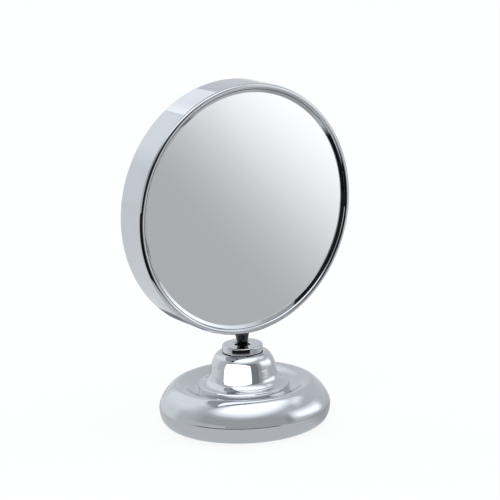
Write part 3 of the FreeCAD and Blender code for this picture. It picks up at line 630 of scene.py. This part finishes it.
SKY_LEVEL = 0.67
SKY_TINT = (0.925, 0.98, 1.02, 1)
SKY_PATCHES = [
    # turn and rise of the middle, half width and half height, softness of each, in degrees; lean; brightness
    (-8, 75, 88, 23, 14, 7, 0.0, 1.7),          # the softbox overhead
    (-42, 31, 66, 13, 14, 5, 0.0, 0.48),        # the ceiling in front, below it
    (-12, 6, 46, 26, 4, 8, 0.0, 0.42),          # the darkish room in front
    (64, 17, 24, 8, 8, 6, -0.35, 1.75),         # the softbox on the right
    (76, 45, 15, 6, 7, 5, 0.0, 1.25),           # the end of the overhead one
    (118, 15, 24, 40, 8, 10, 0.0, 0.70),        # the room behind it
    (-168, 5, 28, 40, 6, 10, 0.0, 0.90),        # the wall behind
    (-165, 46, 40, 30, 12, 6, 0.5, 1.05),       # and its bright part, on the left
    (158, 20, 16, 30, 6, 8, 0.0, 0.76),         # the wall behind, on the right
    (-130, 69, 26, 9, 6, 4, 0.0, 0.38),         # the dark ceiling behind
    (180, 84, 74, 16, 10, 5, 0.0, 0.25),        # and overhead
]


def studio_world():
    """The room in reflections: soft patches of light and shade. The camera sees white."""
    world = bpy.data.worlds.new("studio_world")
    world.use_nodes = True
    bpy.context.scene.world = world
    finish = Finish(world.node_tree)
    toward = finish.node("ShaderNodeTexCoord", out="Generated")
    turn = finish.direction(toward)
    upward = finish.node("ShaderNodeSeparateXYZ", {}, {0: toward}, out="Z")
    rise = finish.node("ShaderNodeMath", {"operation": "ARCSINE"}, {0: upward}) * math.degrees(1)
    level = SKY_LEVEL
    for middle, height, half_width, half_height, side_soft, top_soft, lean, bright in SKY_PATCHES:
        offset = finish.node("ShaderNodeMath", {"operation": "WRAP"}, {0: turn - middle, 1: 180, 2: -180})
        above = (rise - height - offset * lean).absolute()
        share = (finish.range(offset.absolute(), half_width + side_soft, half_width - side_soft)
                 * finish.range(above, half_height + top_soft, half_height - top_soft))
        level = share * bright + (1 - share) * level
    lit = finish.node("ShaderNodeBackground", {}, {"Color": (1, 1, 1, 1), "Strength": 1.0})
    mirrored = finish.node("ShaderNodeBackground", {}, {"Color": SKY_TINT, "Strength": level})
    finish.output("ShaderNodeOutputWorld", lit, mirrored)


CARD_TURN, CARD_DISTANCE, CARD_HEIGHT = -20, 0.6, 0.271
CARD_SIZE = (1.0, 0.54)
CARD_GLOW = 0.015
LAMP_TINT = (0.93, 0.975, 1.0)


def facing_the_mast(item, name, turn, distance, height):
    """Stand an item upright, so far from the mast, with its back to it: a lamp shines out of its back."""
    angle = math.radians(turn)
    item.name = name
    item.location = (math.sin(angle) * distance, -math.cos(angle) * distance, height)
    item.rotation_euler = Vector((math.sin(angle), -math.cos(angle), 0)).to_track_quat("Z", "Y").to_euler()


def dark_card():
    """A black screen that only shows in reflections."""
    bpy.ops.mesh.primitive_plane_add(size=1)
    card = bpy.context.object
    facing_the_mast(card, "dark_card", CARD_TURN, CARD_DISTANCE, CARD_HEIGHT)
    card.scale = (*CARD_SIZE, 1)
    card.visible_camera = card.visible_diffuse = card.visible_shadow = False
    material = bpy.data.materials.new("black_cloth")
    material.use_nodes = True
    finish = Finish(material.node_tree)
    cloth = finish.node("ShaderNodeEmission", {}, {"Color": (1, 1, 1, 1), "Strength": CARD_GLOW})
    finish.node("ShaderNodeOutputMaterial", {}, {"Surface": cloth})
    card.data.materials.append(material)


def softbox(name, turn, distance, height, size, bright, pieces):
    """A rectangular lamp that faces the mast from one side and lights the named pieces."""
    bpy.ops.object.light_add(type="AREA")
    lamp = bpy.context.object
    facing_the_mast(lamp, name, turn, distance, height)
    lamp.data.shape = "RECTANGLE"
    lamp.data.size, lamp.data.size_y = size
    lamp.data.energy = bright * math.pi * size[0] * size[1]
    lamp.data.color = LAMP_TINT
    lit = bpy.data.collections.new(name + "_lights")
    for piece in pieces:
        lit.objects.link(bpy.data.objects[piece])
    lamp.light_linking.receiver_collection = lit
    return lamp


def fill(name, bright, pieces):
    """A lamp just in front of the whole dark card, which lifts it from black in the named pieces."""
    softbox(name, CARD_TURN, CARD_DISTANCE - MM, CARD_HEIGHT, CARD_SIZE, bright, pieces)


LENS, SENSOR_WIDTH = 187.2, 36.0
CAMERA_SPOT = (0.0, -1.599685, 0.533928)                   # before it is turned round the mast


def studio_camera():
    """The camera: a long lens, above the head and to its left, tilted down, with a slight roll."""
    turn, pan, tilt, roll = 0.5993, 0.0044, 0.25694, 0.03609        # in radians
    bpy.ops.object.camera_add(location=(0, 0, 0))
    camera = bpy.context.object
    camera.name = "studio_camera"
    camera.data.sensor_width = SENSOR_WIDTH
    camera.data.lens = LENS
    forward = Vector((math.sin(pan) * math.cos(tilt), math.cos(pan) * math.cos(tilt), -math.sin(tilt)))
    right = forward.cross(Vector((0, 0, 1))).normalized()
    up = right.cross(forward)
    leaned_right = right * math.cos(roll) - up * math.sin(roll)
    leaned_up = right * math.sin(roll) + up * math.cos(roll)
    matrix = camera.matrix_world.copy()
    for row in range(3):
        matrix[row][0] = leaned_right[row]
        matrix[row][1] = leaned_up[row]
        matrix[row][2] = -forward[row]
        matrix[row][3] = CAMERA_SPOT[row]
    camera.matrix_world = matrix.Rotation(-turn, 4, "Z") @ matrix
    camera.data.clip_start, camera.data.clip_end = 0.05, 60
    bpy.context.scene.camera = camera


studio_floor()
studio_world()
dark_card()
fill("bell_fill", 0.26, ["bell_cover"])
fill("foot_fill", 0.48, ["foot_cover"])
glasses = ["shaving_face", "magnifying_face"]
fill("glass_fill", 0.6, glasses)
floor_fill = softbox("glass_floor_fill", turn=-45, distance=0.9, height=MM, size=(1.27, 1.27), bright=0.55,
                     pieces=glasses)
floor_fill.rotation_euler = (math.pi, 0, 0)                # it lies on the table and shines upwards
softbox("front_softbox", turn=-55, distance=0.11, height=0.069, size=(0.23, 0.112), bright=1.9,
        pieces=["bell_cover"])
softbox("hoop_softbox", turn=166.5, distance=2.0, height=1.45, size=(0.89, 0.5), bright=0.42, pieces=["hoop"])
studio_camera()
bpy.context.scene.view_settings.view_transform = "Standard"
